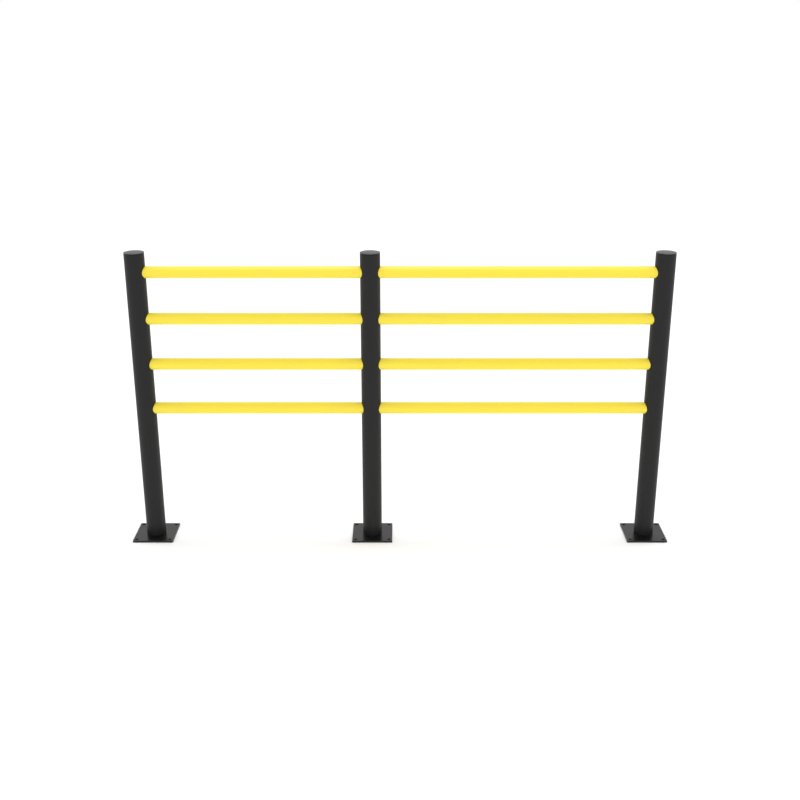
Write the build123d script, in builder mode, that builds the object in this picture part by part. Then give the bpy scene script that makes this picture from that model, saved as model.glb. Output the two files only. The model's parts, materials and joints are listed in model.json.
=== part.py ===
from build123d import *
import os
from math import sqrt

# Bolt-down post and rail guard barricade: three round posts on square floor
# plates carry four rows of round rails over a short and a long bay.
# Millimetres. X runs along the barricade, Y to its back and Z up. The origin
# is on the floor, midway between the two end posts and on the line of posts.

# Overall
short_bay = 877.0            # left post axis to middle post axis
long_bay = 1100.0            # middle post axis to right post axis
post_length = 1150.0         # post tube, from the floor plate to the cap
top_rail_drop = 72.0         # top of the post tube down to the axis of the top rail
rail_pitch = 180.0           # between the axes of neighbouring rails

# Floor plates
plate_size = 160.0
plate_thickness = 8.0
plate_corner = 2.5
plate_edge = 0.8             # chamfer round the upper face
anchor_hole = 13.0
anchor_inset = 13.5          # hole centre to plate edge

# Post tubes
post_od = 76.0
post_wall = 7.0
post_rim = 0.5               # chamfer on the outer edges of the tube

# Steel spigots inside the posts
spigot_clearance = 0.85      # between the spigot and the bore of the post
spigot_wall = 3.6
spigot_height = 300.0
spigot_rim = 1.0             # chamfer at the top, so that the post slides on
weld_leg = 4.0
weld_clearance = 1.0         # between the weld and the relief in the post

# Screws through the back of each post into its spigot
screw_diameter = 8.0
screw_overrun = 3.0          # of a screw past its nut
screw_head = 14.0
screw_head_height = 4.4
screw_head_round = 2.2
screw_socket = 5.0           # across the flats
screw_socket_depth = 2.6
screw_tip = 0.8
screw_heights = (60.0, 220.0)    # above the floor plate
screw_clearance = 0.3
seat_clearance = 1.0
seat_depth = 2.0             # of the flat seat, below the outside of the post
nut_flats = 13.0
nut_thickness = 6.5
nut_clearance = 0.05

# Rails
rail_od = 45.0
rail_wall = 5.0
rail_clearance = 0.3         # between a rail and its hole in a post
rail_gap = 2.0               # between the two rails that meet in the middle post

# Plugs and couplers inside the rail ends
bore_clearance = 0.2         # between them and the bore of the rail
plug_length = 60.0
plug_flange = 3.0
plug_lead = 2.0
plug_clearance = 1.5         # between the rim of the flange and the bore of the post
coupler_length = 220.0
coupler_lead = 2.0

# Locking rods dropped through the rails inside the posts
rod_diameter = 10.0
rod_clearance = 0.3
rod_tail = 12.0              # below the bottom rail
rod_point = 2.0
rod_head = 20.0
rod_head_height = 5.0
rod_head_edge = 1.0
saddle_diameter = 22.0
saddle_height = 3.0          # above the crown of the top rail
saddle_clearance = 0.1       # between its hollow and the crown of the rail
saddle_inset = 4.0           # between a saddle in the middle post and the bore

# Post caps
cap_thickness = 4.0
cap_edge = 0.9
cap_wall = 3.0               # of the skirt inside the post
cap_skirt = 22.0
cap_skirt_gap = 0.8          # between the skirt and the bore of the post
cap_rib_clearance = 0.1
cap_rib_width = 2.4
cap_ribs = 8
cap_web = 2.5
cap_web_depth = 12.0

# Places that follow from the sizes above
post_radius = post_od / 2
post_bore = post_radius - post_wall
post_top = plate_thickness + post_length
half_length = (short_bay + long_bay) / 2
post_x = {"left": -half_length, "middle": short_bay - half_length, "right": half_length}
rail_sides = {"left": (1,), "middle": (-1, 1), "right": (-1,)}
row_names = ("top", "upper", "lower", "bottom")
row_z = {row: post_top - top_rail_drop - rail_pitch * i for i, row in enumerate(row_names)}
rail_radius = rail_od / 2
rail_bore = rail_radius - rail_wall
plug_reach = sqrt((post_bore - plug_clearance) ** 2 - rail_radius**2)
rail_overrun = plug_reach - plug_flange      # of a rail past the axis of an end post
spigot_radius = post_bore - spigot_clearance
screw_z = [plate_thickness + height for height in screw_heights]
seat_y = post_radius - seat_depth
nut_corner = nut_flats / sqrt(3)
nut_y = sqrt((spigot_radius - spigot_wall) ** 2 - nut_corner**2) - nut_clearance
rod_offset = post_bore - saddle_inset - saddle_diameter / 2   # from the middle post's axis
rod_x = {
    "left": post_x["left"],
    "middle_left": post_x["middle"] - rod_offset,
    "middle_right": post_x["middle"] + rod_offset,
    "right": post_x["right"],
}
rod_hole = rod_diameter / 2 + rod_clearance
saddle_top = row_z["top"] + rail_radius + saddle_height

os.makedirs("parts", exist_ok=True)


def save(piece, name):
    piece.part.label = name
    export_step(piece.part, f"parts/{name}.step")


def upright(x):
    """The plane of the posts seen from the front, with its origin under a post axis."""
    return Plane(origin=(x, 0, 0), x_dir=(1, 0, 0), z_dir=(0, -1, 0))


def floor_plate(x):
    hole_pitch = plate_size - 2 * anchor_inset
    with BuildPart() as plate:
        with BuildSketch(Plane.XY):
            with Locations((x, 0)):
                RectangleRounded(plate_size, plate_size, plate_corner)
                with GridLocations(hole_pitch, hole_pitch, 2, 2):
                    Circle(anchor_hole / 2, mode=Mode.SUBTRACT)
        extrude(amount=plate_thickness)
        chamfer(plate.faces().sort_by(Axis.Z)[-1].outer_wire().edges(), plate_edge)
    return plate


def spigot(x):
    with BuildPart() as tube:
        with BuildSketch(Plane.XY.offset(plate_thickness)):
            with Locations((x, 0)):
                Circle(spigot_radius)
        extrude(amount=spigot_height)
        chamfer(tube.faces().sort_by(Axis.Z)[-1].edges(), spigot_rim)
        with BuildSketch(Plane.XY.offset(plate_thickness)):
            with Locations((x, 0)):
                Circle(spigot_radius - spigot_wall)
        extrude(amount=spigot_height, mode=Mode.SUBTRACT)
        with BuildSketch(upright(x)):
            with Locations(*[(0, z) for z in screw_z]):
                Circle(screw_diameter / 2 + screw_clearance)
        extrude(amount=-post_od, mode=Mode.SUBTRACT)
    return tube


def spigot_weld(x):
    toe = (spigot_radius + weld_leg, plate_thickness)
    with BuildPart() as bead:
        with BuildSketch(upright(x)):
            with BuildLine():
                Polyline(
                    (spigot_radius, plate_thickness),
                    toe,
                    (spigot_radius, plate_thickness + weld_leg),
                    close=True,
                )
            make_face()
        revolve(axis=Axis((x, 0, 0), (0, 0, 1)))
    return bead


def weld_nuts(x):
    """Hexagon nuts against the inside of the spigot, behind its screw holes."""
    with BuildPart() as nuts:
        with BuildSketch(upright(x).offset(-nut_y)):
            with Locations(*[(0, z) for z in screw_z]):
                RegularPolygon(nut_flats / 2, 6, major_radius=False)
                Circle(screw_diameter / 2 + nut_clearance, mode=Mode.SUBTRACT)
        extrude(amount=nut_thickness)
    return nuts


def post(x, sides):
    weld_relief = spigot_radius + weld_leg + weld_clearance - post_bore
    with BuildPart() as tube:
        with BuildSketch(Plane.XY.offset(plate_thickness)):
            with Locations((x, 0)):
                Circle(post_radius)
                Circle(post_bore, mode=Mode.SUBTRACT)
        extrude(amount=post_length)
        rims = tube.edges().filter_by(GeomType.CIRCLE).sort_by(SortBy.RADIUS)
        chamfer(rims[-2:], post_rim)
        chamfer(rims[:2].sort_by(Axis.Z)[0], weld_relief)
        for side in sides:
            with BuildSketch(Plane.YZ.offset(x)):
                with Locations(*[(0, z) for z in row_z.values()]):
                    Circle(rail_radius + rail_clearance)
            extrude(amount=side * post_od, mode=Mode.SUBTRACT)
        with BuildSketch(upright(x)):
            with Locations(*[(0, z) for z in screw_z]):
                Circle(screw_diameter / 2 + screw_clearance)
        extrude(amount=-post_od, mode=Mode.SUBTRACT)
        with BuildSketch(upright(x).offset(-seat_y)):
            with Locations(*[(0, z) for z in screw_z]):
                Circle(screw_head / 2 + seat_clearance)
        extrude(amount=-post_od, mode=Mode.SUBTRACT)
    return tube


def post_screws(x):
    """Button head screws, their heads on the flat seats at the back of the post."""
    head_y = seat_y + screw_head_height
    shank = seat_y - nut_y + nut_thickness + screw_overrun
    with BuildPart() as screws:
        with BuildSketch(upright(x).offset(-seat_y)):
            with Locations(*[(0, z) for z in screw_z]):
                Circle(screw_head / 2)
        extrude(amount=-screw_head_height)
        fillet(screws.faces().group_by(Axis.Y)[-1].edges(), screw_head_round)
        with BuildSketch(upright(x).offset(-head_y)):
            with Locations(*[(0, z) for z in screw_z]):
                RegularPolygon(screw_socket / 2, 6, major_radius=False)
        extrude(amount=screw_socket_depth, mode=Mode.SUBTRACT)
        with BuildSketch(upright(x).offset(-seat_y)):
            with Locations(*[(0, z) for z in screw_z]):
                Circle(screw_diameter / 2)
        extrude(amount=shank)
        chamfer(screws.faces().group_by(Axis.Y)[0].edges(), screw_tip)
    return screws


def post_cap(x):
    skirt_radius = post_bore - cap_skirt_gap
    rib_reach = post_bore - cap_rib_clearance
    with BuildPart() as cap:
        with BuildSketch(Plane.XY.offset(post_top)):
            with Locations((x, 0)):
                Circle(post_radius)
        extrude(amount=cap_thickness)
        fillet(cap.faces().sort_by(Axis.Z)[-1].edges(), cap_edge)
        with BuildSketch(Plane.XY.offset(post_top)):
            with Locations((x, 0)):
                Circle(skirt_radius)
                with PolarLocations(0, cap_ribs):
                    Rectangle(
                        rib_reach, cap_rib_width, align=(Align.MIN, Align.CENTER)
                    )
                Circle(skirt_radius - cap_wall, mode=Mode.SUBTRACT)
        extrude(amount=-cap_skirt)
        with BuildSketch(Plane.XY.offset(post_top)):
            with Locations((x, 0)):
                with PolarLocations(0, 2, angular_range=180):
                    Rectangle(2 * skirt_radius - cap_wall, cap_web)
        extrude(amount=-cap_web_depth)
    return cap


def rail(x_start, x_end, z, rods):
    """A rail tube along X, with a hole down through it for each locking rod."""
    with BuildPart() as tube:
        with BuildSketch(Plane.YZ.offset(x_start)):
            with Locations((0, z)):
                Circle(rail_radius)
                Circle(rail_bore, mode=Mode.SUBTRACT)
        extrude(amount=x_end - x_start)
        with BuildSketch(Plane.XY.offset(z)):
            with Locations(*[(x, 0) for x in rods]):
                Circle(rod_hole)
        extrude(amount=rail_od, both=True, mode=Mode.SUBTRACT)
    return tube


def coupler(z):
    """A bar across the middle post that joins the two rails of one row."""
    start = post_x["middle"] - coupler_length / 2
    with BuildPart() as bar:
        with BuildSketch(Plane.YZ.offset(start)):
            with Locations((0, z)):
                Circle(rail_bore - bore_clearance)
        extrude(amount=coupler_length)
        chamfer(bar.edges().filter_by(GeomType.CIRCLE), coupler_lead)
        with BuildSketch(Plane.XY.offset(z)):
            with Locations((rod_x["middle_left"], 0), (rod_x["middle_right"], 0)):
                Circle(rod_hole)
        extrude(amount=rail_od, both=True, mode=Mode.SUBTRACT)
    return bar


def end_plug(x, outward, z):
    """A plug in the rail end inside an end post; its flange covers the tube."""
    rail_end = x + outward * rail_overrun
    with BuildPart() as plug:
        with BuildSketch(Plane.YZ.offset(rail_end)):
            with Locations((0, z)):
                Circle(rail_bore - bore_clearance)
        extrude(amount=-outward * plug_length)
        tip = plug.faces().filter_by(GeomType.PLANE).sort_by(Axis.X)
        chamfer((tip[0] if outward > 0 else tip[-1]).edges(), plug_lead)
        with BuildSketch(Plane.YZ.offset(rail_end)):
            with Locations((0, z)):
                Circle(rail_radius)
        extrude(amount=outward * plug_flange)
        with BuildSketch(Plane.XY.offset(z)):
            with Locations((x, 0)):
                Circle(rod_hole)
        extrude(amount=rail_od, both=True, mode=Mode.SUBTRACT)
    return plug


def locking_rod(x):
    """A headed rod that hangs on its saddle and passes down through all four rows."""
    foot = row_z["bottom"] - rail_radius - rod_tail
    with BuildPart() as rod:
        with BuildSketch(Plane.XY.offset(foot)):
            with Locations((x, 0)):
                Circle(rod_diameter / 2)
        extrude(amount=saddle_top - foot)
        chamfer(rod.faces().sort_by(Axis.Z)[0].edges(), rod_point)
        with BuildSketch(Plane.XY.offset(saddle_top)):
            with Locations((x, 0)):
                Circle(rod_head / 2)
        extrude(amount=rod_head_height)
        chamfer(rod.faces().sort_by(Axis.Z)[-1].edges(), rod_head_edge)
    return rod


def rod_saddle(x):
    """A round washer, hollowed below to sit on the crown of the top rail."""
    with BuildPart() as saddle:
        with BuildSketch(Plane.XY.offset(row_z["top"])):
            with Locations((x, 0)):
                Circle(saddle_diameter / 2)
                Circle(rod_hole, mode=Mode.SUBTRACT)
        extrude(amount=rail_radius + saddle_height)
        with BuildSketch(Plane.YZ.offset(x - saddle_diameter)):
            with Locations((0, row_z["top"])):
                Circle(rail_radius + saddle_clearance)
        extrude(amount=2 * saddle_diameter, mode=Mode.SUBTRACT)
    return saddle


for where, x in post_x.items():
    save(floor_plate(x), f"floor_plate_{where}")
    save(spigot(x), f"spigot_{where}")
    save(spigot_weld(x), f"spigot_weld_{where}")
    save(weld_nuts(x), f"weld_nuts_{where}")
    save(post(x, rail_sides[where]), f"post_{where}")
    save(post_screws(x), f"post_screws_{where}")
    save(post_cap(x), f"post_cap_{where}")

left_end = post_x["left"] - rail_overrun
right_end = post_x["right"] + rail_overrun
for row, z in row_z.items():
    meet_left = post_x["middle"] - rail_gap / 2
    meet_right = post_x["middle"] + rail_gap / 2
    save(rail(left_end, meet_left, z, (rod_x["left"], rod_x["middle_left"])), f"short_rail_{row}")
    save(rail(meet_right, right_end, z, (rod_x["middle_right"], rod_x["right"])), f"long_rail_{row}")
    save(coupler(z), f"rail_coupler_{row}")
    save(end_plug(post_x["left"], -1, z), f"left_end_plug_{row}")
    save(end_plug(post_x["right"], 1, z), f"right_end_plug_{row}")

for where, x in rod_x.items():
    save(locking_rod(x), f"locking_rod_{where}")
    save(rod_saddle(x), f"rod_saddle_{where}")
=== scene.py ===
"""Looks of a bolt-down guard rail barricade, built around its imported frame.

Metres. X runs along the barricade, Y to its back and Z up; the origin is on the floor,
midway between the end posts. Sizes come from the frame where it holds them, and
otherwise from the property groups below.
"""

import json
from inspect import signature
from math import asin, atan2, cos, pi, radians, sin, sqrt

import bmesh
import bpy
from bpy.props import FloatProperty, FloatVectorProperty, IntProperty, PointerProperty
from bpy.types import Operator, Panel, PropertyGroup
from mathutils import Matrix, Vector


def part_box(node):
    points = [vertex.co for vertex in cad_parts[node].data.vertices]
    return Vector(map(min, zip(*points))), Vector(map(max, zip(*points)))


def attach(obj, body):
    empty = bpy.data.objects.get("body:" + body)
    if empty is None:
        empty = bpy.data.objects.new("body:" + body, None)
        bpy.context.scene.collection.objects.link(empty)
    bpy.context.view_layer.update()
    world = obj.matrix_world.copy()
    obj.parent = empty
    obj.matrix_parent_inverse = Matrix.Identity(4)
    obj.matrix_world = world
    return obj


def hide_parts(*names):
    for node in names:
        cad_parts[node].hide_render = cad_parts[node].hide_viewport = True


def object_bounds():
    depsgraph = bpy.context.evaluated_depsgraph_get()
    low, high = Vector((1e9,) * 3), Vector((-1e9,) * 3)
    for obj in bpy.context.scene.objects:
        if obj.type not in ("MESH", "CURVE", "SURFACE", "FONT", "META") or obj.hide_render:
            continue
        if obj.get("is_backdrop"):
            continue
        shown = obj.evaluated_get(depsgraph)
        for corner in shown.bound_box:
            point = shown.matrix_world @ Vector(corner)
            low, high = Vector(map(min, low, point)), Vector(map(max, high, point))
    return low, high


bl_info = {
    "name": "Guard Rail Barricade",
    "version": (1, 0, 0),
    "blender": (4, 5, 0),
    "location": "View3D > Sidebar > Barricade",
    "description": "Builds the posts, rails, plates and fittings of a guard rail barricade",
    "category": "Add Mesh",
}

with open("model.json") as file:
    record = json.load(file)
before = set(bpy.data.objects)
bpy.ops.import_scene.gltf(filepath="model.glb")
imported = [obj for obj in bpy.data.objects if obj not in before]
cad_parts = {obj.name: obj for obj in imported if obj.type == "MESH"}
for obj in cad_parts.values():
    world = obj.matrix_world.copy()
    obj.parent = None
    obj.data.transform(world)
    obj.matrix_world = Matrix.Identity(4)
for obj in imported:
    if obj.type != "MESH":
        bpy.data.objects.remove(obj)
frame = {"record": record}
CAD_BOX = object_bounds()
BODY = "root"
MM = 0.001
SIDES = ("left", "middle", "right")
ROWS = ("top", "upper", "lower", "bottom")
RODS = ("left", "middle_left", "middle_right", "right")
TURN = 2 * pi
MERGE = 1e-6  # points nearer than this are one point
LATHE_RADIUS = 10.0 * MM  # of the circle that carries a turned outline
DRILL = 60.0 * MM  # longer than a rail insert is thick
OFF_EDGE = radians(1.3)  # turns one part so that its corners miss the edges of another
CREASE = 35.0  # degrees past which an edge stays sharp
FINE_CREASE = 25.0  # the same for nuts, whose faces meet at flatter angles
BEAD_CREASE = 50.0  # the same for welds, so that their ripples stay smooth
BEVEL_ANGLE = 40.0  # degrees past which an edge of a plate is rounded
EDGE_TURNS = (pi / 6, pi / 3, pi / 2)  # steps along the rounding of a tube's edge
BLEND_STEPS = 3  # rings between a port's square patch and its round mouth
RAIL_PATCH, SEAT_PATCH, ROD_PATCH, SCREW_PATCH = 1.24, 1.3, 1.4, 1.5  # half a patch, in radii of its mouth
ROUND, SMALL_ROUND = 96, 64  # flats around caps and inserts, and around rods and saddles
HOLE_ROUND = 48  # flats around anchor holes and rod holes
SCREW_ROUND, SCREW_ROWS = 40, 110  # flats around a screw and rings along its thread
NUT_ROUND, NUT_ROWS = 72, 46  # the same for a nut
BEAD_ROUND, BEAD_STEPS = 624, 6  # flats around a weld and across its belly
TIGHT, SOFT, FULL = 0.3 * MM, 0.4 * MM, 0.8 * MM  # small roundings of turned parts
CAP_FOOT, CAP_ROOT = 0.6 * MM, 1.0 * MM  # roundings at the skirt's lower edge and its root
RIB_GAP = 0.1 * MM  # between a cap's ribs and the bore of its post
WEB_ROOT = 2.0 * MM  # how far a web runs up into the cap
RUNOUT = 2.0 * MM  # plain length of a screw under its head
SOCKET_DRILL = 10.0 * MM  # length of the cutter for a screw's socket
ROD_CROWN, ROD_COLLAR, ROD_TIP = 1.2 * MM, 0.5 * MM, 0.6 * MM  # roundings of a locking rod
ROD_POINT = 2.0 * MM  # chamfer at a locking rod's lower end
SENSOR = 36.0  # width of the camera's frame in millimetres


# ---- sizes from the frame

class Extent:
    """The box of one CAD node, with its middle and its sizes."""

    def __init__(self, node):
        self.low, self.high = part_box(node)
        self.middle = (self.low + self.high) / 2
        self.size = self.high - self.low


def nodes(stem, ends):
    """Each end of a node's name, with the whole name and that node's box."""
    return [(end, f"{stem}_{end}", Extent(f"{stem}_{end}")) for end in ends]


RAIL_Z = {row: Extent(f"short_rail_{row}").middle.z for row in ROWS}
POST_RADIUS = Extent("post_left").size.x / 2
RAIL_RADIUS = Extent("short_rail_top").size.z / 2
SPIGOT_RADIUS = Extent("spigot_left").size.x / 2
COUPLER_RADIUS = Extent("rail_coupler_top").size.z / 2
SCREWS = Extent("post_screws_left")
SCREW_HEAD_RADIUS = SCREWS.size.x / 2
SCREW_Z = (SCREWS.low.z + SCREW_HEAD_RADIUS, SCREWS.high.z - SCREW_HEAD_RADIUS)
ROD_X = {end: box.middle.x for end, _, box in nodes("locking_rod", RODS)}
ANCHORS = next(m["dims"] for m in frame["record"]["mounts"] if m["name"] == "anchor_holes_left")


# ---- properties

def prop(kind, scale=None, **fixed):
    """A function that makes one kind of property; a length's default is given in millimetres."""
    def make(name, description, default, **more):
        value = default * scale if scale else default
        return kind(name=name, description=description, default=value, **{**fixed, **more})
    return make


length = prop(FloatProperty, MM, min=0.0, unit="LENGTH")
metres = prop(FloatProperty, min=0.0, unit="LENGTH")
share = prop(FloatProperty, min=0.0, max=1.0, subtype="FACTOR")
colour = prop(FloatVectorProperty, size=3, min=0.0, max=1.0, subtype="COLOR")
strength = prop(FloatProperty, min=0.0)
slant = prop(FloatProperty, subtype="ANGLE")
number = prop(IntProperty)


class BarricadeTubeSizes(PropertyGroup):
    post_wall: length("Post wall", "Wall of the post sleeves", 7.0)
    post_rim: length("Post rim", "Rounding at the ends of the post sleeves", 0.5)
    weld_relief: length("Weld relief", "Chamfer inside the foot of a post, over the weld", 4.15)
    rail_wall: length("Rail wall", "Wall of the rail tubes", 5.0)
    rail_clearance: length("Rail clearance", "Gap between a rail and its hole in a post", 0.3)
    port_lip: length("Port lip", "Rounding at the edge of each rail hole", 0.7)
    small_lip: length("Small lip", "Rounding at the edge of screw and rod holes", 0.3)
    spigot_wall: length("Spigot wall", "Wall of the steel spigots", 3.6)
    insert_lead: length("Insert lead", "Chamfer at the ends of the couplers and plugs", 2.0)
    plug_flange: length("Plug flange", "Thickness of the flange of an end plug", 3.0)
    saddle_clearance: length("Saddle clearance", "Gap between a rod saddle and the rail below it", 0.1)
    rod_hole: length("Rod hole", "Radius of the holes for the locking rods", 5.3)
    segments: number("Segments", "Flats around a tube, a multiple of eight", 96, min=32, max=256)


class BarricadePlateSizes(PropertyGroup):
    corner: length("Corner radius", "Rounding of the plate's corners, seen from above", 2.5)
    edge: length("Edge rounding", "Rounding of the plate's upper and lower edges and its holes", 0.7)
    bead_throat: length("Weld swell", "How far the weld stands proud of a flat bevel", 0.35)
    bead_ripple: length("Weld ripple", "Height of the ripples along the weld", 0.22)
    bead_count: number("Ripples", "Ripples around one weld", 78, min=8, max=200)


class BarricadeCapSizes(PropertyGroup):
    thickness: length("Cap thickness", "Thickness of the cap above the post", 4.0)
    edge: length("Cap edge", "Rounding of the cap's upper edge", 0.9)
    seam: length("Cap seam", "Rounding of the cap's lower edge, where it meets the post", 0.35)
    wall: length("Skirt wall", "Wall of the skirt inside the post", 3.0)
    gap: length("Skirt gap", "Gap between the skirt and the bore of the post", 0.8)
    rib_width: length("Rib width", "Width of the ribs on the skirt", 2.4)
    web: length("Web", "Thickness of the crossed webs under the cap", 2.5)
    web_depth: length("Web depth", "Depth of the crossed webs", 12.0)
    ribs: number("Ribs", "Ribs around the skirt", 8, min=3, max=24)


class BarricadeFastenerSizes(PropertyGroup):
    head_height: length("Head height", "Height of the screws' button heads", 4.4)
    head_round: length("Head rounding", "Rounding of the button heads", 3.4)
    socket: length("Socket", "Width across the flats of the screws' sockets", 5.0)
    socket_depth: length("Socket depth", "Depth of the screws' sockets", 2.6)
    shank: length("Shank radius", "Radius of the screws over the thread", 4.0)
    pitch: length("Thread pitch", "Rise of the thread in one turn", 1.25)
    thread: length("Thread depth", "Depth of the thread", 0.68)
    seat: length("Seat radius", "Radius of the flat screw seats at the back of a post", 8.0)
    passage: length("Passage", "Radius of the screw holes in posts and spigots", 4.3)
    nut_flats: length("Nut width", "Width across the flats of the weld nuts", 13.0)
    nut_bore: length("Nut bore", "Radius of the nuts' threaded holes", 4.05)
    rod: length("Rod radius", "Radius of the locking rods", 5.0)
    rod_head: length("Rod head", "Height of the locking rods' heads", 5.0)


class BarricadeFinishes(PropertyGroup):
    yellow: colour("Rail yellow", "Colour of the rails", (0.90, 0.725, 0.0505))
    black: colour("Post black", "Colour of the posts", (0.0125, 0.0125, 0.0128))
    coating: colour("Coating black", "Colour of the caps, plates and spigots", (0.0052, 0.0052, 0.0054))
    zinc: colour("Zinc", "Colour of the plated screws, nuts and rods", (0.66, 0.68, 0.70))
    grey: colour("Inner grey", "Colour of the plugs, couplers and saddles", (0.22, 0.225, 0.235))
    gloss_yellow: share("Rail roughness", "Roughness of the rails", 0.38)
    gloss_black: share("Post roughness", "Roughness of the posts", 0.5)
    gloss_cap: share("Cap roughness", "Roughness of the caps", 0.3)
    gloss_coating: share("Plate roughness", "Roughness of the plates' coating", 0.30)


class BarricadeStage(PropertyGroup):
    floor_half: metres("Floor half width", "Half the width of the floor", 60.0)
    floor_shade: share("Floor shade", "Brightness of the floor", 0.97)
    sky: strength("Sky", "Strength of the even white light", 1.0)
    lamp: strength("Lamp", "Strength of the overhead light", 0.8)
    lamp_spread: slant("Lamp spread", "Width of the overhead light, as an angle", radians(14))
    lamp_lean: slant("Lamp lean", "Lean of the overhead light to the back", radians(6))
    eye_back: metres("Camera distance", "Distance of the camera in front of the posts", 4.061)
    eye_height: metres("Camera height", "Height of the camera above the floor", 2.058)
    tilt: slant("Camera tilt", "Angle at which the camera looks down", radians(20.02))
    lens: strength("Lens", "Focal length in millimetres on a 36 mm frame", 50.0, min=1.0)


# ---- node trees

def reckoned(operation):
    return lambda self, other: self.wiring.math(operation, self, other)


class Size:
    """A number inside a node tree, reckoned with like a plain one."""

    def __init__(self, wiring, socket):
        self.wiring, self.socket = wiring, socket

    __add__, __sub__ = reckoned("ADD"), reckoned("SUBTRACT")
    __mul__, __truediv__ = reckoned("MULTIPLY"), reckoned("DIVIDE")


class Wiring:
    """A node tree under construction. An input takes a Size, a socket or a plain value."""

    def __init__(self, tree):
        self.tree = tree

    def add(self, kind, inputs=None, out=0, **settings):
        node = self.tree.nodes.new(kind)
        for name, value in settings.items():
            setattr(node, name, value)
        for key, value in (inputs or {}).items():
            self.plug(node.inputs[key], value)
        return node.outputs[out]

    def plug(self, socket, value):
        for one in value if isinstance(value, list) else [value]:
            if isinstance(one, Size):
                one = one.socket
            if isinstance(one, bpy.types.NodeSocket):
                self.tree.links.new(one, socket)
            else:
                socket.default_value = one

    def math(self, operation, *values, clamp=False):
        node = self.add("ShaderNodeMath", dict(enumerate(values)), operation=operation, use_clamp=clamp)
        return Size(self, node)

    def point(self, x=0.0, y=0.0, z=0.0):
        return self.add("ShaderNodeCombineXYZ", {"X": x, "Y": y, "Z": z})


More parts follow.
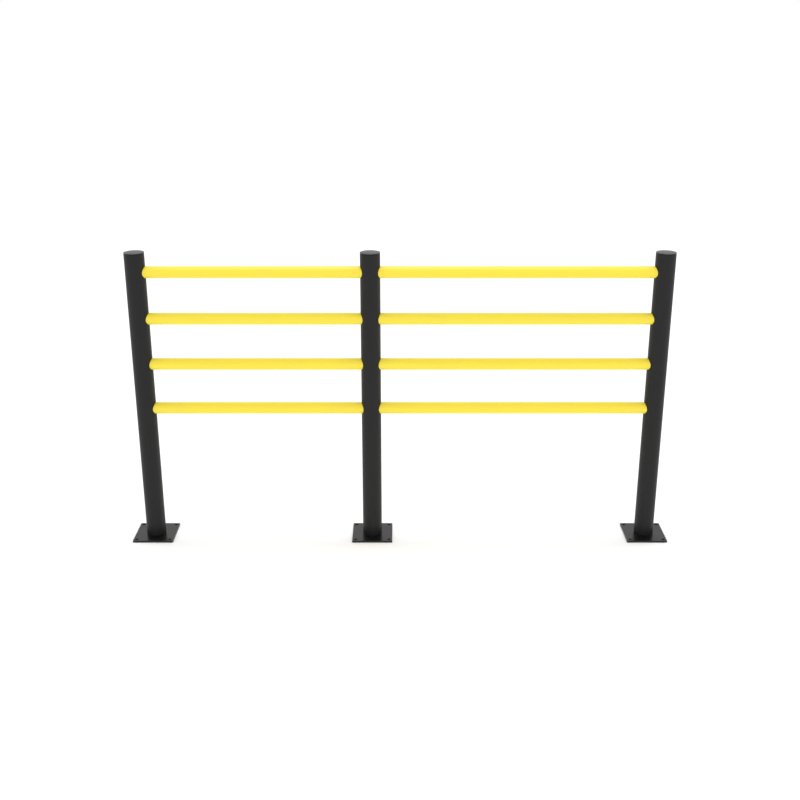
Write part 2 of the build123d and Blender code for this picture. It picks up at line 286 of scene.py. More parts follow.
class Shape(Wiring):
    """A geometry node tree, drawn by a rule, which makes one kind of piece.

    Each argument of the rule after the first is one of the tree's sizes.
    """

    def __init__(self, name, rule, crease=CREASE):
        super().__init__(bpy.data.node_groups.new(name, "GeometryNodeTree"))
        sizes = list(signature(rule).parameters)[1:]
        kinds = {**dict.fromkeys(sizes, "Float"), **rule.__annotations__, "material": "Material"}
        interface = self.tree.interface
        self.keys = {
            size: interface.new_socket(name=size, in_out="INPUT", socket_type=f"NodeSocket{kind}").identifier
            for size, kind in kinds.items()
        }
        interface.new_socket(name="Geometry", in_out="OUTPUT", socket_type="NodeSocketGeometry")
        given = self.tree.nodes.new("NodeGroupInput").outputs
        self.finish(rule(self, *[Size(self, given[size]) for size in sizes]), given["material"], crease)

    def geo(self, kind, inputs=None, **settings):
        return self.add("GeometryNode" + kind, inputs, **settings)

    def pick(self, kind, values):
        """The value whose number is the point's index."""
        node = self.tree.nodes.new("GeometryNodeIndexSwitch")
        node.data_type = kind
        while len(node.index_switch_items) < len(values):
            node.index_switch_items.new()
        self.plug(node.inputs[0], self.geo("InputIndex"))
        for socket, value in zip(node.inputs[1:], values):
            self.plug(socket, value)
        return node.outputs[0]

    def outline(self, corners, closed=False, steps=5):
        """A curve through corners (radius, height), or (radius, height, rounding)."""
        spots = self.pick("VECTOR", [self.point(c[0], c[1]) for c in corners])
        line = self.geo("MeshLine", {"Count": len(corners)})
        placed = self.geo("SetPosition", {"Geometry": line, "Position": spots})
        curve = self.geo("MeshToCurve", {"Mesh": placed})
        if closed:
            curve = self.geo("SetSplineCyclic", {"Geometry": curve, "Cyclic": True})
        rounding = [c[2] if len(c) > 2 else 0.0 for c in corners]
        return self.rounded(curve, steps, self.pick("FLOAT", rounding))

    def rounded(self, curve, steps, radius):
        inputs = {"Curve": curve, "Count": steps, "Radius": radius, "Limit Radius": True}
        return self.geo("FilletCurve", inputs, mode="POLY")

    def turned(self, curve, segments):
        """The curve turned about Z; run from the top outwards and down, it faces out."""
        placing = {"Geometry": curve, "Translation": (-LATHE_RADIUS, 0, 0), "Scale": (1, -1, 1)}
        profile = self.geo("Transform", placing)
        path = self.circle(LATHE_RADIUS, segments)
        return self.geo("CurveToMesh", {"Curve": path, "Profile Curve": profile})

    def circle(self, radius, segments):
        return self.geo("CurvePrimitiveCircle", {"Resolution": segments, "Radius": radius})

    def lathed(self, corners, segments, closed=False, steps=5):
        return self.turned(self.outline(corners, closed, steps), segments)

    def sleeve(self, radius, start, end, rows, segments):
        """The plain wall of a cylinder in even rows, from one height to another."""
        line = self.outline([(radius, start), (radius, end)])
        return self.turned(self.geo("ResampleCurve", {"Curve": line, "Count": rows}), segments)

    def joined(self, *parts):
        together = self.geo("JoinGeometry", {"Geometry": list(reversed(parts))})
        return self.geo("MergeByDistance", {"Geometry": together, "Distance": MERGE})

    def cut(self, mesh, *tools):
        inputs = {"Mesh 1": mesh, "Mesh 2": list(tools)}
        return self.geo("MeshBoolean", inputs, operation="DIFFERENCE", solver="EXACT")

    def fused(self, *parts):
        return self.geo("MeshBoolean", {"Mesh 2": list(parts)}, operation="UNION", solver="EXACT")

    def block(self, x, y, z, middle):
        return self.moved(self.geo("MeshCube", {"Size": self.point(x, y, z)}), middle)

    def drill(self, radius, flats, length, middle, turn):
        inputs = {"Vertices": flats, "Radius": radius, "Depth": length}
        return self.moved(self.geo("MeshCylinder", inputs), self.point(z=middle), turn)

    def moved(self, geometry, place=(0, 0, 0), turn=(0, 0, 0)):
        return self.geo("Transform", {"Geometry": geometry, "Translation": place, "Rotation": turn})

    def real(self, geometry):
        return self.geo("RealizeInstances", {"Geometry": geometry})

    def around(self, part, count):
        """Copies of a part at even turns about Z."""
        spin = self.math("MULTIPLY", self.geo("InputIndex"), self.math("DIVIDE", TURN, count))
        points = self.geo("Points", {"Count": count})
        inputs = {"Points": points, "Instance": part, "Rotation": self.point(z=spin)}
        return self.real(self.geo("InstanceOnPoints", inputs))

    def at(self, part, spots):
        """Copies of a part at these points."""
        points = self.geo("Points", {"Count": len(spots), "Position": self.pick("VECTOR", spots)})
        return self.geo("InstanceOnPoints", {"Points": points, "Instance": part})

    def laid(self, part, x, y, *heights):
        """Copies of an upright part at these heights, laid along Y."""
        lying = self.moved(part, turn=(-pi / 2, 0, 0))
        return self.at(lying, [self.point(x, y, height) for height in heights])

    def whereabouts(self):
        """The X, Y and Z of each point."""
        place = self.tree.nodes.new("ShaderNodeSeparateXYZ")
        self.plug(place.inputs[0], self.geo("InputPosition"))
        return [Size(self, socket) for socket in place.outputs]

    def carried(self, mesh, x, y, z):
        return self.geo("SetPosition", {"Geometry": mesh, "Position": self.point(x, y, z)})

    def reshaped(self, mesh, rule):
        """Moves each point to rule(radius, angle, height), its new radius."""
        x, y, z = self.whereabouts()
        radius = self.math("SQRT", x * x + y * y)
        scale = rule(radius, self.math("ARCTAN2", y, x), z) / radius
        return self.carried(mesh, x * scale, y * scale, z)

    def thread(self, mesh, low, high, pitch, depth):
        """Cuts a helical thread between two heights, fading out over its last turn."""
        def rule(radius, angle, height):
            phase = self.math("FRACT", height / pitch - angle / TURN)
            groove = self.math("PINGPONG", phase * 2.0, 1.0)
            above = self.math("DIVIDE", height - low, pitch, clamp=True)
            below = self.math("DIVIDE", self.math("SUBTRACT", high, height), pitch, clamp=True)
            return radius - groove * depth * (above * below)
        return self.reshaped(mesh, rule)

    def finish(self, geometry, material, crease):
        """Smooths all but the creases, makes the copies real and sets the material."""
        inputs = {"Geometry": self.real(geometry), "Shade Smooth": True}
        smooth = self.geo("SetShadeSmooth", inputs, domain="FACE")
        sharp = self.math("GREATER_THAN", self.geo("InputMeshEdgeAngle"), radians(crease))
        inputs = {"Geometry": smooth, "Selection": sharp, "Shade Smooth": False}
        creased = self.geo("SetShadeSmooth", inputs, domain="EDGE")
        painted = self.geo("SetMaterial", {"Geometry": creased, "Material": material})
        self.plug(self.tree.nodes.new("NodeGroupOutput").inputs[0], painted)

    def make(self, name, slot, **sizes):
        """Runs the tree once with these sizes and returns the result as a plain mesh piece."""
        piece = placed(name, bpy.data.meshes.new(name))
        modifier = piece.modifiers.new(name, "NODES")
        modifier.node_group = self.tree
        for size, value in {**sizes, "material": finish_for(slot)}.items():
            modifier[self.keys[size]] = value
        settle(piece)
        return piece

    def stand(self, name, node, slot, **sizes):
        """Makes the piece that stands in for one CAD node."""
        stand_for(self.make(name, slot, **sizes), node, slot)


def placed(name, data):
    """A new object in the scene."""
    item = bpy.data.objects.new(name, data)
    bpy.context.scene.collection.objects.link(item)
    return item


def settle(piece):
    """The piece's modifiers applied to its mesh."""
    evaluated = piece.evaluated_get(bpy.context.evaluated_depsgraph_get())
    mesh = bpy.data.meshes.new_from_object(evaluated)
    piece.modifiers.clear()
    piece.data = mesh
    if not mesh.polygons:
        raise RuntimeError(f"{piece.name} came out empty")


# ---- materials

class Finish(Wiring):
    """A material under construction, on coordinates that stay with the object."""

    def __init__(self, name, **values):
        self.material = bpy.data.materials.new(name)
        self.material.use_nodes = True
        super().__init__(self.material.node_tree)
        self.shader = self.tree.nodes["Principled BSDF"]
        for socket, value in values.items():
            self.shader.inputs[socket.replace("_", " ")].default_value = value
        self.place = self.add("ShaderNodeTexCoord", out="Object")

    def stretched(self, x, y, z):
        return self.add("ShaderNodeMapping", {"Vector": self.place, "Scale": (x, y, z)})

    def noise(self, scale, detail=2.0, where=None, rough=0.5):
        inputs = {"Vector": where or self.place, "Scale": scale, "Detail": detail, "Roughness": rough}
        return Size(self, self.add("ShaderNodeTexNoise", inputs))

    def spread(self, value, low, high, start=0.0, end=1.0):
        """The value's range from start to end, spread over low to high."""
        inputs = {"Value": value, "From Min": start, "From Max": end, "To Min": low, "To Max": high}
        return Size(self, self.add("ShaderNodeMapRange", inputs))

    def swung(self, value, middle, swing):
        """The noise's middle range, spread as far as swing to both sides of the middle."""
        return self.spread(value, middle - swing, middle + swing, 0.3, 0.7)

    def tint(self, value, dark, light):
        mix = self.tree.nodes.new("ShaderNodeMix")
        mix.data_type = "RGBA"
        self.plug(mix.inputs[0], value)
        self.plug(mix.inputs[6], (*dark, 1.0))
        self.plug(mix.inputs[7], (*light, 1.0))
        return mix.outputs[2]

    def bump(self, height, distance, strength=1.0, after=None):
        inputs = {"Height": height, "Distance": distance, "Strength": strength}
        if after:
            inputs["Normal"] = after
        return self.add("ShaderNodeBump", inputs)

    def speckled(self, clouds, grain, colour, contrast):
        """A colour that varies softly with the clouds and finely with the grain."""
        shade = clouds * 0.5 + self.spread(grain, 0.0, 0.5, 0.35, 0.65)
        return self.tint(shade, *shades(colour, contrast))

    def wear(self, colour, roughness, normal):
        for name, value in (("Base Color", colour), ("Roughness", roughness), ("Normal", normal)):
            self.plug(self.shader.inputs[name], value)
        return self.material


def shades(colour, contrast):
    """The colour made darker and lighter."""
    return [tuple(min(c * much, 1.0) for c in colour) for much in (1.0 - contrast, 1.0 + contrast)]


def extruded_polymer(name, colour, roughness, lines, specular, contrast):
    """A smooth tube wall: fine grain, faint die lines along the tube and handling marks."""
    finish = Finish(name, Specular_IOR_Level=specular)
    clouds = finish.noise(5.0, 3.0)
    grain = finish.noise(1300.0, 3.0, rough=0.6)
    drawn = finish.noise(1.0, 4.0, where=finish.stretched(*lines), rough=0.6)
    rubs = finish.spread(finish.noise(42.0, 8.0, rough=0.66), 0.0, 1.0, 0.58, 0.74)
    shade = finish.spread(clouds, 0.2, 0.4, 0.3, 0.7) + finish.spread(drawn, 0.0, 0.36, 0.32, 0.68)
    shade = shade + finish.spread(grain, 0.0, 0.24, 0.35, 0.65) + rubs * 0.2
    rough = finish.swung(clouds, roughness, 0.04) + finish.swung(drawn, 0.0, 0.05) + rubs * 0.10
    ridged = finish.bump(drawn, 0.00010, 0.5)
    base = finish.tint(shade, *shades(colour, contrast))
    return finish.wear(base, rough, finish.bump(grain, 0.00006, 0.5, after=ridged))


def moulded_polymer(name, colour, roughness, specular):
    """A moulded part: an even spark-eroded grain with slight flow shades."""
    finish = Finish(name, Specular_IOR_Level=specular)
    flow = finish.noise(28.0, 3.0)
    grain = finish.noise(1900.0, 3.0, rough=0.65)
    pits = finish.bump(finish.noise(650.0, 2.0), 0.00008, 0.5)
    rough = finish.swung(flow, roughness, 0.04) + finish.swung(grain, 0.0, 0.06)
    base = finish.speckled(flow, grain, colour, 0.14)
    return finish.wear(base, rough, finish.bump(grain, 0.00005, 0.6, after=pits))


def powder_coat(name, colour, roughness, specular):
    """A powder-coated steel: orange peel, a trace of grit, and a coat that thins in places."""
    finish = Finish(name, Specular_IOR_Level=specular)
    clouds = finish.noise(16.0, 4.0)
    grit = finish.noise(2200.0, 3.0, rough=0.65)
    peel = finish.bump(finish.noise(420.0, 1.5), 0.00018, 0.5)
    rough = finish.swung(clouds, roughness, 0.05) + finish.swung(grit, 0.0, 0.05)
    base = finish.speckled(clouds, grit, colour, 0.2)
    return finish.wear(base, rough, finish.bump(grit, 0.00004, 0.4, after=peel))


def zinc_plate(name, colour):
    """A bright zinc plating: cloudy passivation, fine drawing lines and small pits."""
    finish = Finish(name, Metallic=1.0)
    clouds = finish.noise(140.0, 4.0)
    lines = finish.noise(1.0, 3.0, where=finish.stretched(900.0, 900.0, 60.0))
    warm = (colour[0] * 0.93, colour[1] * 0.88, colour[2] * 0.76)
    base = finish.tint(finish.spread(clouds, 0.0, 1.0, 0.3, 0.75), colour, warm)
    rough = finish.swung(clouds, 0.32, 0.08) + finish.swung(lines, 0.0, 0.05)
    drawn = finish.bump(lines, 0.00003, 0.5)
    return finish.wear(base, rough, finish.bump(finish.noise(1900.0, 3.0), 0.00003, 0.5, after=drawn))


def studio_floor(name, shade):
    """A plain pale floor with a barely mottled matt surface."""
    finish = Finish(name, Specular_IOR_Level=0.15)
    clouds = finish.noise(3.0, 2.0)
    base = finish.tint(clouds, (shade,) * 3, (shade * 1.01,) * 3)
    return finish.wear(base, finish.spread(clouds, 0.8, 0.9), finish.bump(finish.noise(300.0), 0.00005, 0.1))


def finish_for(slot):
    """The material for one of the record's slots, made once."""
    name = f"{slot}_finish"
    if name in bpy.data.materials:
        return bpy.data.materials[name]
    look = bpy.context.scene.barricade_finishes
    maker, *values = {
        "post_black": (extruded_polymer, look.black, look.gloss_black, (700.0, 700.0, 6.0), 0.2, 0.5),
        "rail_yellow": (extruded_polymer, look.yellow, look.gloss_yellow, (6.0, 700.0, 700.0), 0.40, 0.1),
        "cap_black": (moulded_polymer, look.coating, look.gloss_cap, 0.24),
        "inner_grey": (moulded_polymer, look.grey, 0.52, 0.4),
        "plate_black": (powder_coat, look.coating, look.gloss_coating, 0.38),
        "spigot_black": (powder_coat, look.coating, look.gloss_coating + 0.06, 0.36),
        "zinc_steel": (zinc_plate, look.zinc),
    }[slot]
    return maker(name, *values)


def stand_for(piece, node, slot):
    """The piece replaces one CAD node: it joins the body and the node is hidden. slot is not used."""
    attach(piece, BODY)
    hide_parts(node)


# ---- tubes with ports

class Tube:
    """A tube along Z or X, closed at its rims and pierced by round ports with rounded edges.

    across, beyond and along are its three directions. A port's angle turns from across
    to beyond, and its height runs along the tube from the origin.
    """

    def __init__(self, middle, upright, segments):
        across, along = ((1, 0, 0), (0, 0, 1)) if upright else ((0, 1, 0), (1, 0, 0))
        self.mesh, self.segments = bmesh.new(), segments
        self.origin = Vector((middle.x, 0, 0)) if upright else Vector((0, 0, middle.z))
        self.across, self.along = Vector(across), Vector(along)
        self.beyond = self.along.cross(self.across)

    def corner(self, radius, angle, height):
        out = self.across * cos(angle) + self.beyond * sin(angle)
        return self.mesh.verts.new(self.origin + out * radius + self.along * height)

    def ring(self, radius, height):
        step = TURN / self.segments
        return [self.corner(radius, i * step, height) for i in range(self.segments)]

    def skin(self, loops):
        """Faces between each loop and the next, facing as the loops turn."""
        for first, second in zip(loops, loops[1:]):
            for i in range(len(first)):
                k = (i + 1) % len(first)
                self.mesh.faces.new((first[i], first[k], second[k], second[i]))

    def centre(self, port, levels):
        """The column and the row of a wall's rings at the middle of a port."""
        column = round(port["angle"] / TURN * self.segments)
        return column, levels.index(port["levels"][0]) + port["reach"]

    def wall(self, radius, levels, ports, outward):
        """Rings at these levels, joined except where a port's square patch is left open."""
        rings = [self.ring(radius, level) for level in levels]
        open_cells = set()
        for port in ports:
            column, row = self.centre(port, levels)
            cells = range(-port["reach"], port["reach"])
            open_cells.update(((column + u) % self.segments, row + v) for u in cells for v in cells)
        for row in range(len(levels) - 1):
            for i in range(self.segments):
                if (i, row) not in open_cells:
                    k = (i + 1) % self.segments
                    face = (rings[row][i], rings[row][k], rings[row + 1][k], rings[row + 1][i])
                    self.mesh.faces.new(face if outward else face[::-1])
        return radius, levels, rings

    def border(self, port, wall):
        """The points of the wall around a port's patch."""
        _, levels, rings = wall
        column, row = self.centre(port, levels)
        return [rings[row + v][(column + u) % self.segments] for u, v in port["square"]]

    def port_ring(self, port, radius, wall_radius=None, flat=None):
        """A ring of the port at this radius, on the wall or on a flat across the port's axis."""
        loop = []
        for t in port["directions"]:
            aside = radius * cos(t)
            out = flat if flat is not None else sqrt(wall_radius**2 - aside**2)
            turn = port["angle"] + atan2(aside, out)
            loop.append(self.corner(sqrt(out**2 + aside**2), turn, port["height"] + radius * sin(t)))
        return loop

    def blend(self, port, circle_radius, wall_radius):
        """Rings on the wall between the patch's border and a circle of the port."""
        rings = []
        reach, half = port["reach"] * (TURN / self.segments), (port["levels"][-1] - port["levels"][0]) / 2
        for n in range(1, BLEND_STEPS + 1):
            loop, share_in = [], n / BLEND_STEPS
            for t in port["directions"]:
                scale = 1 / max(abs(cos(t)), abs(sin(t)))
                edge_turn, edge_rise = reach * cos(t) * scale, half * sin(t) * scale
                round_turn, round_rise = asin(circle_radius * cos(t) / wall_radius), circle_radius * sin(t)
                turn = port["angle"] + (edge_turn + (round_turn - edge_turn) * share_in)
                rise = port["height"] + (edge_rise + (round_rise - edge_rise) * share_in)
                loop.append(self.corner(wall_radius, turn, rise))
            rings.append(loop)
        return rings

    def pierce(self, port, outer, inner):
        """Lines one port from the outside of the tube to its bore."""
        hole, lip = port["radius"], port["lip"]
        mouth = port.get("seat", hole)
        outside, inside = outer[0], inner[0]
        loops = [self.border(port, outer), *self.blend(port, mouth + lip, outside)]
        for turn in EDGE_TURNS:
            loops.append(self.port_ring(port, mouth + lip * (1 - sin(turn)), outside - lip * (1 - cos(turn))))
        if "seat" in port:
            loops += [self.port_ring(port, radius, flat=port["flat"]) for radius in (mouth, hole)]
        loops.append(self.port_ring(port, hole, inside + lip / 2))
        loops += reversed(self.blend(port, hole + lip / 2, inside))
        self.skin([*loops, self.border(port, inner)])

    def stand(self, name, node, slot, radius, wall, low, high, rim, ports, relief=0.0):
        """Makes the whole tube, the piece that stands in for one CAD node.

        rim rounds its ends, and relief chamfers its bore at the low end.
        """
        bore, foot = radius - wall, max(relief, rim / 2)
        levels = sorted({level for port in ports for level in port["levels"]})
        outer = self.wall(radius, [low + rim, *levels, high - rim], ports, outward=True)
        inner = self.wall(bore, [low + foot, *levels, high - rim / 2], ports, outward=False)

        def rounded(turn, end, inwards):
            return self.ring(radius - rim * (1 - cos(turn)), end + inwards * (1 - sin(turn)))

        top = [rounded(turn, high, -rim) for turn in EDGE_TURNS]
        self.skin([outer[2][-1], *top, self.ring(bore + rim / 2, high), inner[2][-1]])
        chamfer = self.ring(bore + foot, low)
        bottom = [rounded(turn, low, rim) for turn in reversed(EDGE_TURNS)]
        self.skin([inner[2][0], chamfer, *bottom, outer[2][0]])
        for port in ports:
            self.pierce(port, outer, inner)
        stand_for(as_piece(self.mesh, name, finish_for(slot)), node, slot)


def as_piece(mesh, name, material):
    """A finished bmesh as a smooth piece with creased edges."""
    for face in mesh.faces:
        face.smooth = True
    for edge in mesh.edges:
        if len(edge.link_faces) == 2 and edge.calc_face_angle() > radians(CREASE):
            edge.smooth = False
    data = bpy.data.meshes.new(name)
    mesh.to_mesh(data)
    mesh.free()
    data.materials.append(material)
    return placed(name, data)


def port(angle, height, radius, reach, half, lip, **seat):
    """A round hole through a tube's wall, in a square patch of 2 x reach cells each way."""
    levels = [round(height + half * n / reach, 9) for n in range(-reach, reach + 1)]
    span = range(-reach, reach + 1)
    rim = [(u, v) for u in span for v in span if max(abs(u), abs(v)) == reach]
    square = sorted(rim, key=lambda cell: atan2(cell[1], cell[0]) % TURN)
    return {
        "angle": angle, "height": height, "radius": radius, "reach": reach, "lip": lip, "levels": levels,
        "square": square, "directions": [atan2(v, u) for u, v in square], **seat,
    }


# ---- operators

class BARRICADE_OT_posts(Operator):
    """Build the three post sleeves, with their rail holes and screw seats"""

    bl_idname = "barricade.posts"
    bl_label = "Posts"

    def execute(self, context):
        tubes, screws = context.scene.barricade_tubes, context.scene.barricade_fasteners
        reach = tubes.segments // 8
        hole = RAIL_RADIUS + tubes.rail_clearance
        flat = SCREWS.high.y - screws.head_height
        for side, node, box in nodes("post", SIDES):
            angles = {"left": (0.0,), "middle": (0.0, pi), "right": (pi,)}[side]
            ports = [
                port(angle, RAIL_Z[row], hole, reach, hole * RAIL_PATCH, tubes.port_lip)
                for row in ROWS for angle in angles
            ]
            ports += [
                port(pi / 2, z, screws.passage, reach // 3, screws.seat * SEAT_PATCH, tubes.small_lip,
                     seat=screws.seat, flat=flat)
                for z in SCREW_Z
            ]
            Tube(box.middle, True, tubes.segments).stand(
                f"{side}_post", node, "post_black", POST_RADIUS, tubes.post_wall,
                box.low.z, box.high.z, tubes.post_rim, ports, tubes.weld_relief)
        return {"FINISHED"}


class BARRICADE_OT_rails(Operator):
    """Build the rails of both bays, with their holes for the locking rods"""

    bl_idname = "barricade.rails"
    bl_label = "Rails"

    def execute(self, context):
        tubes = context.scene.barricade_tubes
        rods = {"short": ("left", "middle_left"), "long": ("middle_right", "right")}
        for bay, ends in rods.items():
            for row, node, box in nodes(f"{bay}_rail", ROWS):
                ports = [
                    port(angle, ROD_X[end], tubes.rod_hole, tubes.segments // 16, tubes.rod_hole * ROD_PATCH,
                         tubes.small_lip)
                    for end in ends for angle in (pi / 2, 3 * pi / 2)
                ]
                Tube(box.middle, False, tubes.segments).stand(
                    f"{row}_{bay}_rail", node, "rail_yellow", RAIL_RADIUS, tubes.rail_wall,
                    box.low.x, box.high.x, tubes.small_lip, ports)
        return {"FINISHED"}


class BARRICADE_OT_spigots(Operator):
    """Build the steel spigots that stand inside the posts"""

    bl_idname = "barricade.spigots"
    bl_label = "Spigots"

    def execute(self, context):
        tubes, screws = context.scene.barricade_tubes, context.scene.barricade_fasteners
        for side, node, box in nodes("spigot", SIDES):
            ports = [
                port(pi / 2, z, screws.passage, tubes.segments // 24, screws.passage * SCREW_PATCH,
                     tubes.small_lip)
                for z in SCREW_Z
            ]
            Tube(box.middle, True, tubes.segments).stand(
                f"{side}_spigot", node, "spigot_black", SPIGOT_RADIUS, tubes.spigot_wall,
                box.low.z, box.high.z, tubes.post_rim, ports)
        return {"FINISHED"}


def plate(shape, x, width, thickness, corner, pitch, hole):
    square = shape.geo("CurvePrimitiveQuadrilateral", {"Width": width, "Height": width})
    spots = [shape.point(pitch * a, pitch * b) for a in (-0.5, 0.5) for b in (-0.5, 0.5)]
    holes = shape.real(shape.at(shape.circle(hole, HOLE_ROUND), spots))
    border = shape.geo("JoinGeometry", {"Geometry": [shape.rounded(square, 8, corner), holes]})
    face = shape.geo("FillCurve", {"Curve": border}, mode="NGONS")
    raised = shape.geo("ExtrudeMesh", {"Mesh": face, "Offset Scale": thickness, "Individual": False})
    under = shape.geo("FlipFaces", {"Mesh": face})
    return shape.moved(shape.joined(raised, under), shape.point(x))


class BARRICADE_OT_plates(Operator):
    """Build the three floor plates with their anchor holes"""

    bl_idname = "barricade.plates"
    bl_label = "Floor plates"

    def execute(self, context):
        plates = context.scene.barricade_plates
        shape = Shape("Floor plate", plate)
        for side, node, box in nodes("floor_plate", SIDES):
            piece = shape.make(
                f"{side}_floor_plate", "plate_black", x=box.middle.x, width=box.size.x, thickness=box.size.z,
                corner=plates.corner, pitch=ANCHORS["spacing_x_mm"] * MM, hole=ANCHORS["hole_r_mm"] * MM)
            bevel = piece.modifiers.new("edges", "BEVEL")
            bevel.width, bevel.segments = plates.edge, 3
            bevel.limit_method, bevel.angle_limit = "ANGLE", radians(BEVEL_ANGLE)
            bevel.loop_slide, bevel.harden_normals = False, True
            settle(piece)
            stand_for(piece, node, "plate_black")
        return {"FINISHED"}


def weld(shape, x, inside, base, leg, swell, ripple, ripples: "Int"):
    belly = (inside + leg * 0.5 + swell, base + leg * 0.5 + swell, leg)
    corners = [(inside, base + leg), belly, (inside + leg, base), (inside, base)]
    bead = shape.lathed(corners, BEAD_ROUND, closed=True, steps=BEAD_STEPS)

    def rippled(radius, angle, height):
        wave = shape.math("FRACT", angle / TURN * ripples)
        away = shape.math("DIVIDE", radius - inside, leg, clamp=True)
        return radius - shape.math("POWER", wave, 2.0) * ripple * shape.math("SINE", away * pi)

    return shape.moved(shape.joined(shape.reshaped(bead, rippled)), shape.point(x))


class BARRICADE_OT_welds(Operator):
    """Build the rippled fillet welds at the feet of the spigots"""

    bl_idname = "barricade.welds"
    bl_label = "Welds"

    def execute(self, context):
        plates = context.scene.barricade_plates
        shape = Shape("Weld bead", weld, BEAD_CREASE)
        for side, node, box in nodes("spigot_weld", SIDES):
            shape.stand(
                f"{side}_weld", node, "spigot_black", x=box.middle.x, inside=SPIGOT_RADIUS, base=box.low.z,
                leg=box.size.z, swell=plates.bead_throat, ripple=plates.bead_ripple,
                ripples=plates.bead_count)
        return {"FINISHED"}


def cap(
    shape, x, radius, seat, thickness, edge, seam, skirt, wall, depth, reach, rib, web, drop, ribs: "Int"
):
    top, foot, inside = seat + thickness, seat - depth, skirt - wall
    corners = [
        (0.0, top), (radius, top, edge), (radius, seat, seam), (skirt, seat), (skirt, foot, CAP_FOOT),
        (inside, foot, SOFT), (inside, seat, CAP_ROOT), (0.0, seat),
    ]
    body = shape.moved(shape.joined(shape.lathed(corners, ROUND)), turn=(0, 0, OFF_EDGE))
    rib_length = reach - skirt + wall * 0.3
    rib_place = shape.point(reach - rib_length * 0.5, 0.0, seat - depth * 0.5)
    spokes = shape.around(shape.block(rib_length, rib, depth, rib_place), ribs)
    span, height = (inside + wall * 0.4) * 2.0, drop + WEB_ROOT
    middle = shape.point(z=seat - drop * 0.5 + WEB_ROOT / 2)
    webs = [shape.block(*sizes, height, middle) for sizes in ((span, web), (web, span))]
    return shape.moved(shape.fused(body, spokes, *webs), shape.point(x))


class BARRICADE_OT_caps(Operator):
    """Build the post caps, with their ribbed skirts"""

    bl_idname = "barricade.caps"
    bl_label = "Post caps"

    def execute(self, context):
        caps, tubes = context.scene.barricade_caps, context.scene.barricade_tubes
        shape = Shape("Post cap", cap)
        bore = POST_RADIUS - tubes.post_wall
        for side, node, box in nodes("post_cap", SIDES):
            seat = box.high.z - caps.thickness
            shape.stand(
                f"{side}_cap", node, "cap_black", x=box.middle.x, radius=POST_RADIUS, seat=seat,
                thickness=caps.thickness, edge=caps.edge, seam=caps.seam, skirt=bore - caps.gap,
                wall=caps.wall, depth=seat - box.low.z, reach=bore - RIB_GAP, rib=caps.rib_width,
                web=caps.web, drop=caps.web_depth, ribs=caps.ribs)
        return {"FINISHED"}


def screw(shape, x, y, lower, upper, pitch, thread, head, rise, dome, socket, depth, shank, length):
    end = length * -1.0
    point = end + thread
    crown = shape.lathed([(0.0, rise), (head, rise, dome), (head, 0.0, TIGHT), (shank, 0.0)], SCREW_ROUND)
    wall = shape.sleeve(shank, 0.0, point, SCREW_ROWS, SCREW_ROUND)
    threaded = shape.thread(wall, point, -RUNOUT, pitch, thread)
    tip = shape.lathed([(shank, point), (shank - thread, end), (0.0, end)], SCREW_ROUND)
    middle = rise - depth + SOCKET_DRILL / 2
    hexagon = shape.drill(socket / sqrt(3), 6, SOCKET_DRILL, middle, (0, 0, OFF_EDGE))
    return shape.laid(shape.cut(shape.joined(crown, threaded, tip), hexagon), x, y, lower, upper)


def nut(shape, x, y, lower, upper, pitch, thread, flats, thickness, bore):
    half, rim = flats * 0.5, flats * (1 / sqrt(3))
    chamfer, mouth, top = (rim - half) * 0.6, bore + thread * 0.8, thickness - SOFT
    corners = [
        (mouth, thickness), (half, thickness), (rim, thickness - chamfer), (rim, chamfer), (half, 0.0),
        (mouth, 0.0),
    ]

    def hexagonal(radius, angle, height):
        turn = shape.math("FLOORED_MODULO", angle + pi / 6, pi / 3) - pi / 6
        return shape.math("MINIMUM", radius, half / shape.math("COSINE", turn))

    outside = shape.reshaped(shape.lathed(corners, NUT_ROUND), hexagonal)
    front = shape.lathed([(mouth, 0.0), (bore, SOFT)], NUT_ROUND)
    wall = shape.sleeve(bore, SOFT, top, NUT_ROWS, NUT_ROUND)
    threaded = shape.thread(wall, SOFT, top, pitch, thread * -1.0)
    back = shape.lathed([(bore, top), (mouth, thickness)], NUT_ROUND)
    return shape.laid(shape.joined(outside, front, threaded, back), x, y, lower, upper)


class BARRICADE_OT_screws(Operator):
    """Build the screws at the back of the posts and the weld nuts that take them"""

    bl_idname = "barricade.screws"
    bl_label = "Screws and nuts"

    def execute(self, context):
        sizes = context.scene.barricade_fasteners
        screws, nuts = Shape("Button screws", screw), Shape("Weld nuts", nut, FINE_CREASE)
        shared = {"lower": SCREW_Z[0], "upper": SCREW_Z[1], "pitch": sizes.pitch, "thread": sizes.thread}
        for side, node, box in nodes("post_screws", SIDES):
            seat = box.high.y - sizes.head_height
            screws.stand(
                f"{side}_screws", node, "zinc_steel", **shared, x=box.middle.x, y=seat, head=box.size.x / 2,
                rise=sizes.head_height, dome=sizes.head_round, socket=sizes.socket,
                depth=sizes.socket_depth, shank=sizes.shank, length=seat - box.low.y)
            node = f"weld_nuts_{side}"
            box = Extent(node)
            nuts.stand(
                f"{side}_nuts", node, "zinc_steel", **shared, x=box.middle.x, y=box.low.y,
                flats=sizes.nut_flats, thickness=box.size.y, bore=sizes.nut_bore)
        return {"FINISHED"}


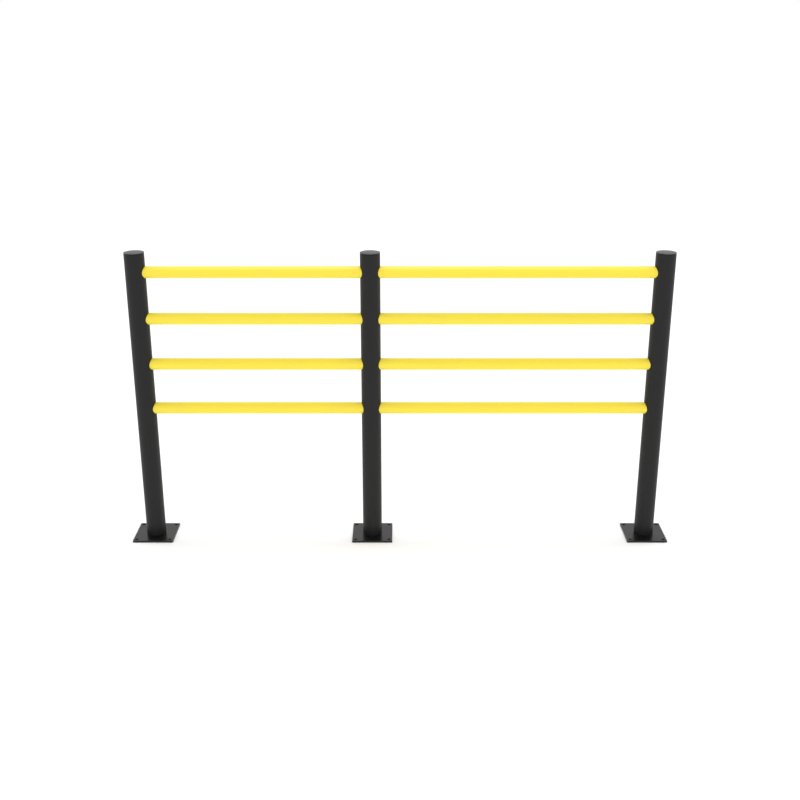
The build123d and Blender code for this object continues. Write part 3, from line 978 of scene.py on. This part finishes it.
def insert(shape, x, z, turn, length, radius, lead, start, flange, wide, first, second, hole):
    """A round bar along X that starts with a flange, if it has one, drilled for two rods."""
    corners = [
        (0.0, length), (radius - lead, length, SOFT), (radius, length - lead, SOFT), (radius, flange + start),
        (wide, flange, SOFT), (wide, 0.0, FULL), (0.0, 0.0),
    ]
    bar = shape.joined(shape.lathed(corners, ROUND))
    drills = [shape.drill(hole, HOLE_ROUND, DRILL, pin, (OFF_EDGE, pi / 2, 0)) for pin in (first, second)]
    return shape.moved(shape.cut(bar, *drills), shape.point(x, z=z), shape.point(y=turn))


def saddle(shape, x, top, axis, crown, radius, hole, edge):
    """A washer with a hollow underside that sits on the crown of a rail."""
    depth = top - (axis + crown)
    corners = [(hole, depth, TIGHT), (radius, depth, edge), (radius, 0.0, TIGHT), (hole, 0.0, TIGHT)]
    ring = shape.joined(shape.lathed(corners, SMALL_ROUND, closed=True))
    along, across, up = shape.whereabouts()
    under = axis + shape.math("SQRT", crown * crown - across * across)
    return shape.carried(ring, along + x, across, under + up / depth * (top - under))


class BARRICADE_OT_inserts(Operator):
    """Build the couplers, end plugs and rod saddles that hold the rails inside the posts"""

    bl_idname = "barricade.inserts"
    bl_label = "Couplers, plugs and saddles"

    def execute(self, context):
        tubes = context.scene.barricade_tubes
        shape = Shape("Rail insert", insert)
        shared = {"radius": COUPLER_RADIUS, "lead": tubes.insert_lead, "hole": tubes.rod_hole}
        for row, node, box in nodes("rail_coupler", ROWS):
            shape.stand(
                f"{row}_coupler", node, "inner_grey", **shared, x=box.low.x, z=box.middle.z, turn=pi / 2,
                length=box.size.x, start=tubes.insert_lead, flange=0.0,
                wide=COUPLER_RADIUS - tubes.insert_lead, first=ROD_X["middle_left"] - box.low.x,
                second=ROD_X["middle_right"] - box.low.x)
            for side, turn in (("left", pi / 2), ("right", -pi / 2)):
                node = f"{side}_end_plug_{row}"
                box = Extent(node)
                start = box.low.x if turn > 0 else box.high.x
                pin = abs(ROD_X[side] - start)
                shape.stand(
                    f"{row}_{side}_plug", node, "inner_grey", **shared, x=start, z=box.middle.z, turn=turn,
                    length=box.size.x, start=0.0, flange=tubes.plug_flange, wide=box.size.z / 2,
                    first=pin, second=pin)
        shape = Shape("Rod saddle", saddle)
        for end, node, box in nodes("rod_saddle", RODS):
            shape.stand(
                f"{end}_saddle", node, "inner_grey", x=box.middle.x, top=box.high.z, axis=RAIL_Z["top"],
                crown=RAIL_RADIUS + tubes.saddle_clearance, radius=box.size.x / 2, hole=tubes.rod_hole,
                edge=tubes.port_lip)
        return {"FINISHED"}


def rod(shape, x, foot, top, radius, head, rise):
    under = top - rise
    corners = [
        (0.0, top), (head, top, ROD_CROWN), (head, under, ROD_COLLAR), (radius, under, SOFT),
        (radius, foot + ROD_POINT, FULL), (radius - ROD_POINT, foot, ROD_TIP), (0.0, foot),
    ]
    return shape.moved(shape.joined(shape.lathed(corners, SMALL_ROUND)), shape.point(x))


class BARRICADE_OT_rods(Operator):
    """Build the locking rods that pin the rails inside the posts"""

    bl_idname = "barricade.rods"
    bl_label = "Locking rods"

    def execute(self, context):
        sizes = context.scene.barricade_fasteners
        shape = Shape("Locking rod", rod)
        for end, node, box in nodes("locking_rod", RODS):
            shape.stand(
                f"{end}_rod", node, "zinc_steel", x=box.middle.x, foot=box.low.z, top=box.high.z,
                radius=sizes.rod, head=box.size.x / 2, rise=sizes.rod_head)
        return {"FINISHED"}


class BARRICADE_OT_stage(Operator):
    """Lay the floor, set the even light and place the camera"""

    bl_idname = "barricade.stage"
    bl_label = "Stage"

    def execute(self, context):
        stage, scene = context.scene.barricade_stage, context.scene
        half = stage.floor_half
        data = bpy.data.meshes.new("floor")
        corners = [(-half, -half, 0), (half, -half, 0), (half, half, 0), (-half, half, 0)]
        data.from_pydata(corners, [], [(0, 1, 2, 3)])
        data.materials.append(studio_floor("floor", stage.floor_shade))
        placed("floor", data)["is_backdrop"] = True

        world = bpy.data.worlds.new("studio")
        world.use_nodes = True
        sky = world.node_tree.nodes["Background"].inputs
        sky["Color"].default_value = (1.0, 1.0, 1.0, 1.0)
        sky["Strength"].default_value = stage.sky
        scene.world = world

        lamp = bpy.data.lights.new("overhead", "SUN")
        lamp.energy, lamp.angle = stage.lamp, stage.lamp_spread
        placed("overhead", lamp).rotation_euler = (-stage.lamp_lean, 0.0, 0.0)

        lens = bpy.data.cameras.new("camera")
        lens.lens, lens.sensor_width = stage.lens, SENSOR
        scene.camera = placed("camera", lens)
        scene.camera.location = (0.0, -stage.eye_back, stage.eye_height)
        scene.camera.rotation_euler = (pi / 2 - stage.tilt, 0.0, 0.0)
        scene.view_settings.view_transform = "Standard"
        return {"FINISHED"}


class BARRICADE_PT_panel(Panel):
    """Steps that build the barricade around its frame"""

    bl_idname = "BARRICADE_PT_panel"
    bl_label = "Guard rail barricade"
    bl_space_type = "VIEW_3D"
    bl_region_type = "UI"
    bl_category = "Barricade"

    def draw(self, context):
        for operator in OPERATORS:
            self.layout.operator(operator.bl_idname)


OPERATORS = (
    BARRICADE_OT_posts, BARRICADE_OT_rails, BARRICADE_OT_spigots, BARRICADE_OT_plates, BARRICADE_OT_welds,
    BARRICADE_OT_caps, BARRICADE_OT_screws, BARRICADE_OT_inserts, BARRICADE_OT_rods, BARRICADE_OT_stage,
)
GROUPS = {
    "barricade_tubes": BarricadeTubeSizes,
    "barricade_plates": BarricadePlateSizes,
    "barricade_caps": BarricadeCapSizes,
    "barricade_fasteners": BarricadeFastenerSizes,
    "barricade_finishes": BarricadeFinishes,
    "barricade_stage": BarricadeStage,
}


def register():
    for name, group in GROUPS.items():
        bpy.utils.register_class(group)
        setattr(bpy.types.Scene, name, PointerProperty(type=group))
    for cls in (*OPERATORS, BARRICADE_PT_panel):
        bpy.utils.register_class(cls)


def unregister():
    for cls in (BARRICADE_PT_panel, *reversed(OPERATORS)):
        bpy.utils.unregister_class(cls)
    for name, group in reversed(GROUPS.items()):
        delattr(bpy.types.Scene, name)
        bpy.utils.unregister_class(group)


def main():
    register()
    for operator in OPERATORS:
        group, name = operator.bl_idname.split(".")
        getattr(getattr(bpy.ops, group), name)()
    boxes = {"cad": CAD_BOX, "visual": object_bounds()}


if __name__ == "__main__":
    main()
